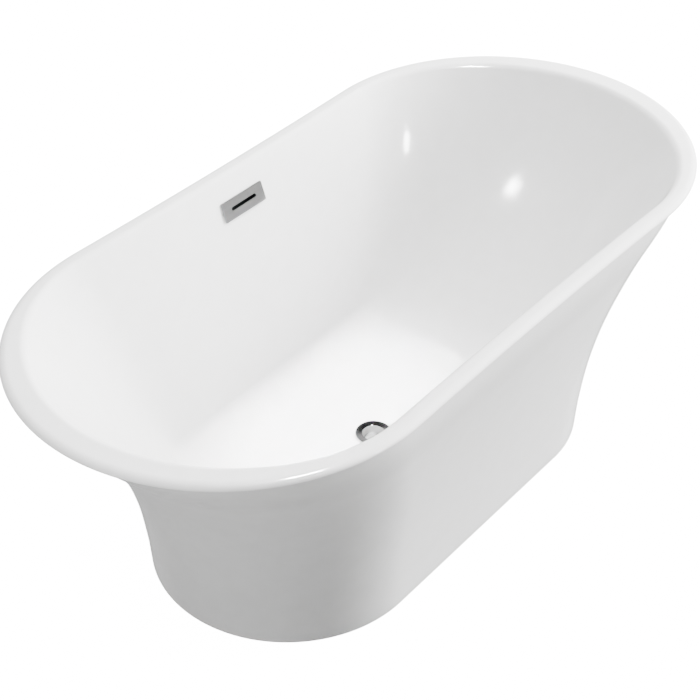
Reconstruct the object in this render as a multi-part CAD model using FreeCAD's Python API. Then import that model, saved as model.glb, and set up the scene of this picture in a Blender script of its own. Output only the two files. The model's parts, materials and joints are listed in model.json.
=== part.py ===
"""Freestanding double-walled bathtub with a centre drain and a slot overflow.

Frame: origin on the ground under the middle of the tub, +X along the length,
+Y towards the side with the overflow, +Z up.  Millimetres.
"""
import FreeCAD, Part
import math
import os

V = FreeCAD.Vector
UP = V(0, 0, 1)

# Overall size
LENGTH = 1500.0
WIDTH = 740.0
HEIGHT = 556.0
SHELL = 5.0              # moulded sheet of the basin and the skirt
FLOOR_SHEET = 6.0        # the basin's floor is a little thicker

# Rim
RIM_WAIST = 4.5          # how far each long side bows in at mid length
LIP_HEIGHT = 11.0        # height of the turned-down outer edge
RIM_EDGE_R = 8.0
END_R = WIDTH / 2
END_CENTRE_X = LENGTH / 2 - END_R

# Basin, inner surface
FLOOR_Z = 97.0
CAVITY_LENGTH = 1400.0   # inner edge of the rim
CAVITY_WIDTH = 680.0
CAVITY_END = 309.0       # length of the rounded end at the rim
FLOOR_CORNER_X = 230.0   # where the rounded ends begin at the floor
RIM_SQUARENESS = 1.95    # exponent of the rounded end at the rim
FLOOR_SQUARENESS = 4.5   # and at the floor
SIDE_FILLET = 45.0
END_FILLET = 40.0
SIDE_FOOT = 196.0        # half width of the flat floor
SIDE_FLARE = 1.8         # power of the long walls' outward curve
END_SLOPE_LOW = 1.02     # run over rise of the end wall at the floor
END_SLOPE_TOP = 0.70     # and at the rim
INNER_EDGE = ((7.0, 0.0), (4.0, 0.9), (1.5, 3.0), (0.0, 6.5))

# Skirt: height, half length, half width of the outer surface
SKIRT_GROUND_GAP = 2.0
SKIRT_TOP = 546.0
SKIRT_LEVELS = (
    (SKIRT_GROUND_GAP, 506.0, 256.0),
    (80.0, 512.0, 260.5),
    (190.0, 529.0, 273.0),
    (297.0, 564.0, 293.0),
    (405.0, 628.0, 320.0),
    (486.0, 694.0, 345.0),
    (SKIRT_TOP, 734.0, 358.5),
)
SKIRT_SECTIONS = 12
SKIRT_FLANGE_L = 717.0   # hole in the skirt's top flange, half length
SKIRT_FLANGE_W = 347.5
BEAD = 5.0               # height of the adhesive bead under the rim

# Bottom board and frame
BOARD = 15.0
BOARD_HALF_L = 250.0
BOARD_HALF_W = 170.0
BOARD_CORNER = 40.0
BOARD_HOLE_R = 45.0
TUBE = 25.0
TUBE_WALL = 2.0
RAIL_Y = 120.0
RAIL_HALF_L = 420.0
CROSS_X = (-405.0, -200.0, 200.0, 405.0)
OUTRIGGER_X = 200.0
OUTRIGGER_END_Y = 228.0
BOARD_SCREW_X = (-230.0, -80.0, 80.0, 230.0)
BRACKET = 3.0
BRACKET_W = 40.0
BRACKET_INNER_Y = 190.0
BRACKET_FACE_Y = 246.0
BRACKET_LOW_Z = 20.0
BRACKET_SCREW_Y = (200.0, 218.0)
BOND_PAD_REACH = 275.0   # past the skirt, which trims the pads
SCREW_HEAD = 4.0
SCREW_HEAD_AF = 10.0
BRACKET_SCREW_R = 2.95
BOARD_SCREW_R = 2.45
BOARD_SCREW_DEPTH = 10.0
HOLE_CLEARANCE = 0.05    # radial, around the screws

# Levelling feet
FOOT_X = 375.0
FOOT_Y = RAIL_Y
PAD_R = 24.0
SOLE = 3.0
PAD_BRIM_Z = 6.0         # top of the pad's brim and floor of its socket
PAD_NECK_R = 12.0
PAD_TOP = 14.0
STUD_R = 5.0
STUD_TOP = 92.0
STUD_SEAT = 6.2
STUD_CHAMFER = 1.0
HEX_LOW = 15.0
HEX_HIGH = 21.0
FOOT_NUT_AF = 17.0
WELD_NUT = 8.0
LOCK_NUT = 5.0
RUN_GAP = 0.05           # radial clearance of turning and sliding fits

# Drain flange
FLANGE_R = 35.0
FLANGE_EDGE = 0.6        # upright part of the flange's edge
FLANGE_CROWN = 1.7       # height of the flange above its gasket
FLANGE_BEVEL = 1.2
RING_INNER_R = 21.5      # inner edge of the visible ring
CONE_LOW_R = 17.6        # foot of the cone below the ring
CONE_LOW_Z = 86.0
DRAIN_BORE_R = 15.5
BORE_TOP_Z = 84.3
TAIL_R = 22.4
TAIL_LOW_Z = 60.0
FLOOR_HOLE_R = 24.0
SOFT_SEAL = 1.0          # thickness of the gasket under the flange

# Drain body
BODY_R = 28.0
BODY_LOW_Z = 30.0
BODY_NECK_R = 24.0
BODY_NECK_TOP_Z = 40.0
BODY_FLANGE_R = 38.0
BODY_FLANGE = 4.0
BODY_TOP_Z = 88.0
BODY_BORE_R = 20.5
BODY_BORE_TOP_Z = 58.0
NECK_BORE_R = 19.7
PORT_HALF_W = 35.3
PORT_WALL = 3.0
PORT_Y = (8.0, 42.0)
PORT_HALF_H = 7.5
PORT_SOCKET_Y = 31.0
PORT_SOCKET_HALF_H = 4.8
THROAT_HALF_W = 30.0
THROAT_HALF_H = 3.0
THROAT_END_Y = 32.0

# Outlet
OUTLET_R = 20.0
OUTLET_BORE_R = 18.0
OUTLET_LOW_Z = 4.0
OUTLET_STUB_TOP_Z = 22.0  # end of the wall that the waste pipe slides onto
OUTLET_NECK_R = 19.4
OUTLET_TOP_Z = 38.5
OUTLET_NUT_Z = (23.0, 37.0)
OUTLET_NUT_AF = 56.0
OUTLET_WASHER_Z = (27.0, 30.0)

# Plug and its click cartridge
PLUG_R = 16.5
PLUG_TOP_Z = 88.0
PLUG_DOME_R = 110.0
PLUG_UNDER_Z = 84.6
PLUG_BEVEL = (1.5, 1.2)
PLUG_NECK_R = 12.35
PLUG_DISC_R = 14.2
PLUG_DISC_Z = (78.7, 80.6)
SEAL_RING_R = 13.9
SEAL_WIRE_R = 1.5
SEAL_Z = 82.5
STEM_R = 3.0
PISTON_R = 6.3
PISTON_LOW = 49.0
PISTON_HIGH = 52.0
PISTON_TRAVEL_TOP = 63.0
CARTRIDGE_R = 8.0
CARTRIDGE_Z = (40.0, 66.0)
STRAINER_Z = (60.0, 66.0)
STRAINER_ARM = 3.0
STRAINER_HUB_R = 10.0
SPRING_LOW = 42.0
SPRING_COIL_R = 5.0
SPRING_WIRE_R = 0.45
SPRING_TURNS = 5

# Overflow
OVERFLOW_Z = 495.0
PLATE_L = 111.0
PLATE_H = 38.0
PLATE = 2.5
PLATE_CORNER_R = 2.5
PLATE_EDGE_R = 0.7
PLATE_GASKET = 1.0       # gap between the plate and the wall, filled by a gasket
SLOT_L = 67.0
SLOT_H = 7.0
STUD_X = 48.0
OVERFLOW_STUD_R = 2.5
OVERFLOW_STUD_END = 15.0
OVERFLOW_NUT_AF = 7.0
OVERFLOW_NUT = 3.0
WALL_SLOT = (41.0, 9.0)  # half sizes of the slot through the basin wall
OVERFLOW_BODY_Y = 8.0
OVERFLOW_BODY = 13.0     # depth of the body behind the wall
OVERFLOW_BODY_H = 30.0
OVERFLOW_BODY_HALF_L = 44.0
OVERFLOW_FLANGE = 3.0
OVERFLOW_FLANGE_HALF_L = 56.0
BACK_GASKET_Y = 4.0      # start of the gasket block that the wall trims
OVERFLOW_WALL = 2.0
OVERFLOW_SPOUT_Y = (4.7, 10.3)
OVERFLOW_SPOUT_W = 33.2
OVERFLOW_SPOUT_WALL = 1.5
OVERFLOW_SPOUT_LOW = -30.0
DUCT_HALF_W = 35.0
DUCT = 9.0
DUCT_WALL = 1.5
DUCT_RUN_Z = 45.5
DUCT_START_Y = 32.0
DUCT_BEND = ((232.0, DUCT_RUN_Z), (243.0, 50.0), (248.0, 62.0), (250.5, 90.0))
DUCT_RISE_Z = (140.0, 200.0, 260.0, 320.0, 380.0, 430.0)
DUCT_TOP = -16.0         # end of the duct over the spout, in the overflow's own frame
DUCT_BELOW = -50.0       # where the duct has turned in line with the spout

FLOOR_UNDER = FLOOR_Z - FLOOR_SHEET
BOARD_LOW = FLOOR_UNDER - BOARD
TUBE_LOW = BOARD_LOW - TUBE
DECK_UNDER = HEIGHT - SHELL


# ---------------------------------------------------------------- helpers

def save(name, shape):
    shape.exportStep("parts/%s.step" % name)


def box(x0, x1, y0, y1, z0, z1):
    return Part.makeBox(x1 - x0, y1 - y0, z1 - z0, V(x0, y0, z0))


def rod(x, y, z0, z1, r):
    return Part.makeCylinder(r, z1 - z0, V(x, y, z0), UP)


def turned(outline):
    """Solid of revolution about Z from (radius, height) points."""
    points = [V(r, 0, z) for r, z in outline]
    face = Part.Face(Part.makePolygon(points + points[:1]))
    return face.revolve(V(0, 0, 0), UP, 360)


def hexagon(x, y, z0, z1, across_flats):
    r = across_flats / math.sqrt(3)
    turn = math.pi / 3
    corners = [V(x + r * math.cos(k * turn), y + r * math.sin(k * turn), z0) for k in range(7)]
    return Part.Face(Part.makePolygon(corners)).extrude(V(0, 0, z1 - z0))


def rounded_plate(half_x, half_y, r, z0, z1):
    plate = box(-half_x, half_x, -half_y, half_y, z0, z1)
    upright = [e for e in plate.Edges if abs(e.tangentAt(e.FirstParameter).z) > 0.9]
    return plate.makeFillet(r, upright)


def solids(shapes):
    return Part.makeCompound(shapes)


# ---------------------------------------------------------------- basin form

def side_reach(z, skin=0.0):
    """Half width of the cavity at height z, grown outwards by skin."""
    radius = SIDE_FILLET + skin
    rise = z - (FLOOR_Z - skin)
    if rise < radius:
        rise = max(rise, 0.0)
        return SIDE_FOOT + math.sqrt(rise * (2 * radius - rise))
    foot = SIDE_FOOT + SIDE_FILLET
    span = HEIGHT - FLOOR_Z - SIDE_FILLET
    t = min((z - FLOOR_Z - SIDE_FILLET) / span, 1.0)
    t = max(t, 0.0)
    flare = (CAVITY_WIDTH / 2 - foot) * t ** SIDE_FLARE
    slope = (CAVITY_WIDTH / 2 - foot) / span * SIDE_FLARE * t ** (SIDE_FLARE - 1)
    return foot + flare + skin * math.sqrt(1 + slope * slope)


def end_reach(z, skin=0.0):
    """Half length of the cavity at height z, grown outwards by skin."""
    lean = math.atan(1 / END_SLOPE_LOW)
    wall_low = FLOOR_Z + END_FILLET * (1 - math.cos(lean))
    span = HEIGHT - wall_low
    curve = (END_SLOPE_LOW - END_SLOPE_TOP) / (2 * span)
    wall_foot = CAVITY_LENGTH / 2 - END_SLOPE_LOW * span + curve * span * span
    radius = END_FILLET + skin
    rise = z - (FLOOR_Z - skin)
    if rise < radius * (1 - math.cos(lean)):
        rise = max(rise, 0.0)
        return wall_foot - END_FILLET * math.sin(lean) + math.sqrt(rise * (2 * radius - rise))
    h = z - wall_low
    slope = END_SLOPE_LOW - 2 * curve * h
    return wall_foot + END_SLOPE_LOW * h - curve * h * h + skin * math.sqrt(1 + slope * slope)


def height_share(z):
    return min(max((z - FLOOR_Z) / (HEIGHT - FLOOR_Z), 0.0), 1.0)


def level_outline(z, skin=0.0, grow=0.0, straight=6, curved=9):
    """Closed ring of points of the cavity at height z, with equal counts at every height."""
    t = height_share(z)
    half_l = end_reach(z, skin) + grow
    half_w = side_reach(z, skin) + grow
    corner_x = FLOOR_CORNER_X + (CAVITY_LENGTH / 2 - CAVITY_END - FLOOR_CORNER_X) * t
    power = RIM_SQUARENESS + (FLOOR_SQUARENESS - RIM_SQUARENESS) * (1 - t) ** 3
    waist = RIM_WAIST * t * t
    end = half_l - corner_x
    fine = 240
    arc = []
    for k in range(fine + 1):
        angle = math.pi / 2 * (1 - k / fine)
        x = corner_x + end * max(math.cos(angle), 0.0) ** (2 / power)
        arc.append((x, half_w * math.sin(angle) ** (2 / power)))
    run = [0.0]
    for (xa, ya), (xb, yb) in zip(arc, arc[1:]):
        run.append(run[-1] + math.hypot(xb - xa, yb - ya))
    quarter = []
    for k in range(straight):
        x = corner_x * k / straight
        quarter.append((x, half_w - waist * (1 - (x / corner_x) ** 2)))
    at = 0
    for k in range(curved + 1):
        goal = run[-1] * k / curved
        while at < fine - 1 and run[at + 1] < goal:
            at += 1
        share = (goal - run[at]) / (run[at + 1] - run[at])
        x = arc[at][0] + (arc[at + 1][0] - arc[at][0]) * share
        y = arc[at][1] + (arc[at + 1][1] - arc[at][1]) * share
        quarter.append((x, y))
    last = len(quarter) - 1
    ring = [(x, -y) for x, y in quarter]
    ring += [(x, y) for x, y in reversed(quarter[:last])]
    ring += [(-x, y) for x, y in quarter[1:]]
    ring += [(-x, -y) for x, y in reversed(quarter[1:last])]
    return ring


def level_wire(z, place_z, skin=0.0, grow=0.0):
    """Smooth closed wire through the outline at z, lying at place_z."""
    points = [V(x, y, place_z) for x, y in level_outline(z, skin, grow)]
    curve = Part.BSplineCurve()
    steps = [float(k) for k in range(len(points) + 1)]
    curve.interpolate(Points=points, PeriodicFlag=True, Parameters=steps)
    return Part.Wire(curve.toShape())


def basin_heights(floor_z):
    rises = (0.0, 1.2, 5.0, 12.0, 22.0, 34.0, 50.0, 85.0, 140.0, 205.0, 275.0, 345.0, 400.0, 435.0)
    return [floor_z + rise for rise in rises]


def cavity():
    """The space inside the basin, up past the rim, with its rounded top edge."""
    wires = [level_wire(z, z) for z in basin_heights(FLOOR_Z)]
    for down, out in INNER_EDGE:
        wires.append(level_wire(HEIGHT - down, HEIGHT - down, grow=out))
    wires.append(level_wire(HEIGHT, HEIGHT + 6.0, grow=INNER_EDGE[-1][1] + 1.0))
    return Part.makeLoft(wires, True, False)


def basin_hull():
    """The cavity grown by the sheet's thickness, up into the rim's deck."""
    heights = basin_heights(FLOOR_UNDER)
    wires = [level_wire(z, z, skin=FLOOR_SHEET) for z in heights]
    wires.append(level_wire(HEIGHT - 3.0, HEIGHT - 3.0, skin=FLOOR_SHEET))
    return Part.makeLoft(wires, True, False)


# ---------------------------------------------------------------- rim outline

def waisted_wire(inset, z):
    """Rim outline: two round ends joined by sides that bow in slightly."""
    end_r = END_R - inset
    mid_y = END_R - RIM_WAIST
    side_r = (END_CENTRE_X ** 2 + mid_y ** 2 - END_R ** 2) / (2 * (END_R - mid_y)) + inset
    side_y = mid_y - inset + side_r
    reach = math.hypot(END_CENTRE_X, side_y)
    join_x = END_CENTRE_X * (1 - end_r / reach)
    join_y = side_y * end_r / reach
    tip = END_CENTRE_X + end_r
    mid = side_y - side_r
    arcs = (
        (V(join_x, -join_y, z), V(tip, 0, z), V(join_x, join_y, z)),
        (V(join_x, join_y, z), V(0, mid, z), V(-join_x, join_y, z)),
        (V(-join_x, join_y, z), V(-tip, 0, z), V(-join_x, -join_y, z)),
        (V(-join_x, -join_y, z), V(0, -mid, z), V(join_x, -join_y, z)),
    )
    return Part.Wire([Part.Arc(a, b, c).toShape() for a, b, c in arcs])


def stadium_wire(half_l, half_w, z):
    """Outline with straight sides and half-round ends."""
    run = half_l - half_w
    edges = (
        Part.LineSegment(V(-run, -half_w, z), V(run, -half_w, z)),
        Part.Arc(V(run, -half_w, z), V(half_l, 0, z), V(run, half_w, z)),
        Part.LineSegment(V(run, half_w, z), V(-run, half_w, z)),
        Part.Arc(V(-run, half_w, z), V(-half_l, 0, z), V(-run, -half_w, z)),
    )
    return Part.Wire([e.toShape() for e in edges])


def prism(wire, height):
    return Part.Face(wire).extrude(V(0, 0, height))


# ---------------------------------------------------------------- shells

def overflow_placement():
    """Frame on the basin wall: X along the tub, Y out through the wall, Z up the wall."""
    step = 1.0
    rise = side_at_middle(OVERFLOW_Z + step) - side_at_middle(OVERFLOW_Z - step)
    tilt = math.degrees(math.atan2(rise, 2 * step))
    place = FreeCAD.Placement()
    place.Base = V(0, side_at_middle(OVERFLOW_Z), OVERFLOW_Z)
    place.Rotation = FreeCAD.Rotation(V(1, 0, 0), -tilt)
    return place


def side_at_middle(z, skin=0.0):
    """Half width of the cavity at mid length, where the side bows in."""
    return side_reach(z, skin) - RIM_WAIST * height_share(z) ** 2


def on_wall(shape):
    moved = shape.copy()
    moved.Placement = overflow_placement().multiply(shape.Placement)
    return moved


def local_slot(half_l, half_h, y0, y1):
    """Block with round ends, in the overflow's own frame."""
    middle = box(-(half_l - half_h), half_l - half_h, y0, y1, -half_h, half_h)
    ends = [
        Part.makeCylinder(half_h, y1 - y0, V(side * (half_l - half_h), y0, 0), V(0, 1, 0))
        for side in (-1, 1)
    ]
    return middle.fuse(ends).removeSplitter()


def stud_holes(r, y0, y1):
    return [Part.makeCylinder(r, y1 - y0, V(x, y0, 0), V(0, 1, 0)) for x in (-STUD_X, STUD_X)]


def basin_shell():
    deck_low = HEIGHT - LIP_HEIGHT
    deck = prism(waisted_wire(0.0, deck_low), LIP_HEIGHT)
    top = [e for e in deck.Edges if e.BoundBox.ZMin > HEIGHT - 0.1]
    deck = deck.makeFillet(RIM_EDGE_R, top)
    deck = deck.cut(prism(waisted_wire(SHELL, deck_low - 1.0), DECK_UNDER - deck_low + 1.0))
    shell = deck.fuse(basin_hull())
    shell = shell.cut(cavity())
    shell = shell.cut(rod(0, 0, FLOOR_UNDER - 1, FLOOR_Z + 1, FLOOR_HOLE_R))
    shell = shell.cut(on_wall(local_slot(WALL_SLOT[0], WALL_SLOT[1], -6, 12)))
    return shell.cut([on_wall(hole) for hole in stud_holes(3.0, -6, 12)])


def skirt_slope(k, column):
    """Slope of the skirt's curve at one of its levels."""
    low = SKIRT_LEVELS[max(k - 1, 0)]
    high = SKIRT_LEVELS[min(k + 1, len(SKIRT_LEVELS) - 1)]
    return (high[column] - low[column]) / (high[0] - low[0])


def skirt_reach(z, column, inset=0.0):
    """Half length (column 1) or half width (column 2) of the skirt at height z."""
    k = 0
    while k < len(SKIRT_LEVELS) - 2 and z > SKIRT_LEVELS[k + 1][0]:
        k += 1
    low = SKIRT_LEVELS[k]
    high = SKIRT_LEVELS[k + 1]
    span = high[0] - low[0]
    t = (z - low[0]) / span
    rise = high[column] - low[column]
    a = skirt_slope(k, column) * span - rise
    b = rise - skirt_slope(k + 1, column) * span
    reach = low[column] + t * rise + t * (1 - t) * ((1 - t) * a + t * b)
    return reach - inset * math.hypot(1, rise / span)


def skirt_solid(inset, low, high):
    wires = []
    for k in range(SKIRT_SECTIONS + 1):
        z = low + (high - low) * k / SKIRT_SECTIONS
        wires.append(stadium_wire(skirt_reach(z, 1, inset), skirt_reach(z, 2, inset), z))
    return Part.makeLoft(wires, True, False)


def skirt_space():
    """The space inside the skirt, below its top flange."""
    return skirt_solid(SHELL, 0.0, SKIRT_TOP - SHELL)


def skirt_shell():
    flange_low = SKIRT_TOP - SHELL
    shell = skirt_solid(0.0, SKIRT_GROUND_GAP, SKIRT_TOP)
    shell = shell.cut(skirt_space())
    return shell.cut(prism(stadium_wire(SKIRT_FLANGE_L, SKIRT_FLANGE_W, flange_low - 1), SHELL + 2))


def rim_adhesive():
    outer = prism(stadium_wire(SKIRT_LEVELS[-1][1] - 3, SKIRT_LEVELS[-1][2] - 3, SKIRT_TOP), BEAD)
    return outer.cut(prism(stadium_wire(SKIRT_FLANGE_L + 1, SKIRT_FLANGE_W + 1, SKIRT_TOP - 1), BEAD + 2))


# ---------------------------------------------------------------- board, frame, brackets

def screw_places():
    return [(x, y) for x in BOARD_SCREW_X for y in (-RAIL_Y, RAIL_Y)]


def foot_places():
    return [(-FOOT_X, -FOOT_Y), (FOOT_X, -FOOT_Y), (FOOT_X, FOOT_Y), (-FOOT_X, FOOT_Y)]


def bottom_board():
    board = rounded_plate(BOARD_HALF_L, BOARD_HALF_W, BOARD_CORNER, BOARD_LOW, FLOOR_UNDER)
    board = board.cut(rod(0, 0, BOARD_LOW - 1, FLOOR_UNDER + 1, BOARD_HOLE_R))
    screw_r = BOARD_SCREW_R + HOLE_CLEARANCE
    hole_top = BOARD_LOW + BOARD_SCREW_DEPTH + 0.5
    return board.cut([rod(x, y, BOARD_LOW - 1, hole_top, screw_r) for x, y in screw_places()])


def square_tube(axis, start, end, centre):
    """Tube between start and end along X or Y; centre is its place on the other axis."""
    half = TUBE / 2
    inner = half - TUBE_WALL
    z_mid = TUBE_LOW + half
    if axis == "X":
        outer = box(start, end, centre - half, centre + half, TUBE_LOW, TUBE_LOW + TUBE)
        hollow = box(start - 1, end + 1, centre - inner, centre + inner, z_mid - inner, z_mid + inner)
    else:
        outer = box(centre - half, centre + half, start, end, TUBE_LOW, TUBE_LOW + TUBE)
        hollow = box(centre - inner, centre + inner, start - 1, end + 1, z_mid - inner, z_mid + inner)
    return outer.cut(hollow)


def frame_rail(y):
    rail = square_tube("X", -RAIL_HALF_L, RAIL_HALF_L, y)
    low = TUBE_LOW - 1
    high = TUBE_LOW + TUBE + 1
    holes = [rod(x, y, low, high, STUD_R + 1) for x in (-FOOT_X, FOOT_X)]
    holes += [rod(x, y, low, high, BOARD_SCREW_R + 2 * HOLE_CLEARANCE) for x in BOARD_SCREW_X]
    return rail.cut(holes)


def frame_cross_member(x):
    reach = RAIL_Y - TUBE / 2
    return square_tube("Y", -reach, reach, x)


def bracket_screw_holes(low, high):
    r = BRACKET_SCREW_R + HOLE_CLEARANCE
    return [rod(x, y, low, high, r) for x, y in bracket_screw_places()]


def bracket_screw_places():
    places = []
    for x in (-OUTRIGGER_X, OUTRIGGER_X):
        for side in (-1, 1):
            places += [(x, side * y) for y in BRACKET_SCREW_Y]
    return places


def frame_outriggers():
    inner_end = RAIL_Y + TUBE / 2
    tubes = []
    for x in (-OUTRIGGER_X, OUTRIGGER_X):
        tubes.append(square_tube("Y", inner_end, OUTRIGGER_END_Y, x))
        tubes.append(square_tube("Y", -OUTRIGGER_END_Y, -inner_end, x))
    top = TUBE_LOW + TUBE
    holes = bracket_screw_holes(top - TUBE_WALL - 1, top + 1)
    return solids([tube.cut(holes) for tube in tubes])


def skirt_brackets():
    top = TUBE_LOW + TUBE
    half = BRACKET_W / 2
    face = BRACKET_FACE_Y
    holes = bracket_screw_holes(top - 1, top + BRACKET + 1)
    brackets = []
    for x in (-OUTRIGGER_X, OUTRIGGER_X):
        for side in (-1, 1):
            leg = box(x - half, x + half, BRACKET_INNER_Y, face, top, top + BRACKET)
            upright = box(x - half, x + half, face - BRACKET, face, BRACKET_LOW_Z, top + BRACKET)
            bracket = leg.fuse(upright).removeSplitter()
            if side < 0:
                bracket = bracket.mirror(V(0, 0, 0), V(0, 1, 0))
            brackets.append(bracket.cut(holes))
    return solids(brackets)


def skirt_bond_pads():
    """Resin pads that fill the wedge between each bracket and the skirt."""
    inside = skirt_space()
    half = BRACKET_W / 2
    pads = []
    for x in (-OUTRIGGER_X, OUTRIGGER_X):
        for y0, y1 in ((BRACKET_FACE_Y, BOND_PAD_REACH), (-BOND_PAD_REACH, -BRACKET_FACE_Y)):
            block = box(x - half, x + half, y0, y1, BRACKET_LOW_Z, TUBE_LOW + TUBE)
            pads.append(block.common(inside).Solids[0])
    return solids(pads)


def bracket_screws():
    top = TUBE_LOW + TUBE
    screws = []
    for x, y in bracket_screw_places():
        shank = rod(x, y, top - TUBE_WALL - 2, top + BRACKET, BRACKET_SCREW_R)
        head = hexagon(x, y, top + BRACKET, top + BRACKET + SCREW_HEAD, SCREW_HEAD_AF)
        screws.append(shank.fuse(head).removeSplitter())
    return solids(screws)


def board_screws():
    screws = []
    for x, y in screw_places():
        shank = rod(x, y, TUBE_LOW, BOARD_LOW + BOARD_SCREW_DEPTH, BOARD_SCREW_R)
        head = hexagon(x, y, TUBE_LOW - SCREW_HEAD, TUBE_LOW, SCREW_HEAD_AF)
        screws.append(shank.fuse(head).removeSplitter())
    return solids(screws)


# ---------------------------------------------------------------- feet

def nut(x, y, z0, z1, across_flats, bore_r):
    return hexagon(x, y, z0, z1, across_flats).cut(rod(x, y, z0 - 1, z1 + 1, bore_r))


def foot_nuts(low, high):
    return solids([nut(x, y, low, high, FOOT_NUT_AF, STUD_R + RUN_GAP) for x, y in foot_places()])


def foot_stud(x, y):
    stud = rod(x, y, STUD_SEAT, STUD_TOP, STUD_R)
    top = [e for e in stud.Edges if e.BoundBox.ZMin > STUD_TOP - 0.1]
    stud = stud.makeChamfer(STUD_CHAMFER, top)
    return stud.fuse(hexagon(x, y, HEX_LOW, HEX_HIGH, FOOT_NUT_AF)).removeSplitter()


def foot_pad(x, y):
    socket_r = STUD_R + RUN_GAP
    outline = (
        (0.0, SOLE), (PAD_R - 2, SOLE), (PAD_R - 2, PAD_BRIM_Z), (PAD_NECK_R, PAD_TOP),
        (socket_r, PAD_TOP), (socket_r, PAD_BRIM_Z), (0.0, PAD_BRIM_Z),
    )
    pad = turned(outline)
    pad.translate(V(x, y, 0))
    return pad


def foot_sole(x, y):
    sole = turned(((0, 0), (PAD_R - 1, 0), (PAD_R, 1), (PAD_R, SOLE), (0, SOLE)))
    sole.translate(V(x, y, 0))
    return sole


# ---------------------------------------------------------------- drain

def drain_flange():
    low = FLOOR_Z + SOFT_SEAL
    outline = (
        (TAIL_R, low), (FLANGE_R, low), (FLANGE_R, low + FLANGE_EDGE),
        (FLANGE_R - FLANGE_BEVEL, low + FLANGE_CROWN), (RING_INNER_R + 1.0, low + 1.1),
        (RING_INNER_R, low + 0.4), (CONE_LOW_R, CONE_LOW_Z), (DRAIN_BORE_R, BORE_TOP_Z),
        (DRAIN_BORE_R, TAIL_LOW_Z), (TAIL_R, TAIL_LOW_Z),
    )
    return turned(outline)


def ring(r0, r1, z0, z1):
    return turned(((r0, z0), (r1, z0), (r1, z1), (r0, z1)))


def port_block(half_w, y0, y1, half_h):
    """Block around the middle of the duct's run into the drain body."""
    return box(-half_w, half_w, y0, y1, DUCT_RUN_Z - half_h, DUCT_RUN_Z + half_h)


def drain_body():
    flange_low = BODY_TOP_Z - BODY_FLANGE
    body = rod(0, 0, BODY_NECK_TOP_Z, flange_low, BODY_R)
    body = body.fuse([
        rod(0, 0, flange_low, BODY_TOP_Z, BODY_FLANGE_R),
        rod(0, 0, BODY_LOW_Z, BODY_NECK_TOP_Z, BODY_NECK_R),
        port_block(PORT_HALF_W + PORT_WALL, PORT_Y[0], PORT_Y[1], PORT_HALF_H),
    ])
    shoulder = BODY_NECK_TOP_Z - 1.0
    hollow = rod(0, 0, BODY_BORE_TOP_Z, BODY_TOP_Z + 1, TAIL_R + 0.1)
    hollow = hollow.fuse([
        rod(0, 0, shoulder, BODY_BORE_TOP_Z, BODY_BORE_R),
        rod(0, 0, BODY_LOW_Z - 1, shoulder, NECK_BORE_R),
    ])
    throat = port_block(THROAT_HALF_W, PORT_Y[0], THROAT_END_Y, THROAT_HALF_H)
    throat = throat.cut(rod(0, 0, BODY_LOW_Z, TAIL_LOW_Z, BODY_BORE_R - 0.5))
    socket = port_block(PORT_HALF_W, PORT_SOCKET_Y, PORT_Y[1] + 1, PORT_SOCKET_HALF_H)
    return body.cut([hollow, throat, socket]).removeSplitter()


def outlet_tailpiece():
    outline = (
        (OUTLET_BORE_R, OUTLET_LOW_Z), (OUTLET_R, OUTLET_LOW_Z), (OUTLET_R, OUTLET_STUB_TOP_Z),
        (OUTLET_NECK_R, OUTLET_STUB_TOP_Z), (OUTLET_NECK_R, OUTLET_TOP_Z),
        (OUTLET_BORE_R, OUTLET_TOP_Z),
    )
    return turned(outline)


def outlet_washer():
    return ring(OUTLET_NECK_R + RUN_GAP, BODY_NECK_R, *OUTLET_WASHER_Z)


def outlet_nut():
    low, high = OUTLET_NUT_Z
    seat = OUTLET_WASHER_Z[0]
    body = hexagon(0, 0, low, high, OUTLET_NUT_AF)
    body = body.cut(rod(0, 0, low - 1, seat + 0.1, OUTLET_R + 0.3))
    return body.cut(rod(0, 0, seat, high + 1, BODY_NECK_R + RUN_GAP))


def strainer_cross():
    """Cross in the drain's throat that holds the click cartridge."""
    low, high = STRAINER_Z
    reach = DRAIN_BORE_R - 0.5
    half = STRAINER_ARM / 2
    arms = [
        box(-reach, reach, -half, half, low, high),
        box(-half, half, -reach, reach, low, high),
    ]
    cross = ring(DRAIN_BORE_R - 2.0, DRAIN_BORE_R - RUN_GAP, low, high)
    cross = cross.fuse(arms + [rod(0, 0, low, high, STRAINER_HUB_R)])
    return cross.cut(rod(0, 0, low - 1, high + 1, CARTRIDGE_R + RUN_GAP)).removeSplitter()


def click_cartridge():
    low, high = CARTRIDGE_Z
    cylinder_r = PISTON_R + 0.1
    outline = (
        (0.0, low), (CARTRIDGE_R, low), (CARTRIDGE_R, high), (STEM_R + RUN_GAP, high),
        (STEM_R + RUN_GAP, PISTON_TRAVEL_TOP), (cylinder_r, PISTON_TRAVEL_TOP),
        (cylinder_r, SPRING_LOW), (0.0, SPRING_LOW),
    )
    return turned(outline)


def plug_cap():
    dome = Part.makeSphere(PLUG_DOME_R, V(0, 0, PLUG_TOP_Z - PLUG_DOME_R))
    bevel_r, bevel_z = PLUG_BEVEL
    blank = turned((
        (0.0, PLUG_UNDER_Z), (PLUG_R - bevel_r, PLUG_UNDER_Z), (PLUG_R, PLUG_UNDER_Z + bevel_z),
        (PLUG_R, PLUG_TOP_Z + 1), (0.0, PLUG_TOP_Z + 1),
    ))
    body = blank.common(dome)
    edge = [e for e in body.Edges if e.BoundBox.ZMin > 86.0 and e.BoundBox.XLength > PLUG_R]
    body = body.makeFillet(0.6, edge)
    disc_low, disc_high = PLUG_DISC_Z
    neck = rod(0, 0, disc_high - 0.6, PLUG_UNDER_Z, PLUG_NECK_R)
    return body.fuse([neck, rod(0, 0, disc_low, disc_high, PLUG_DISC_R)]).removeSplitter()


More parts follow.
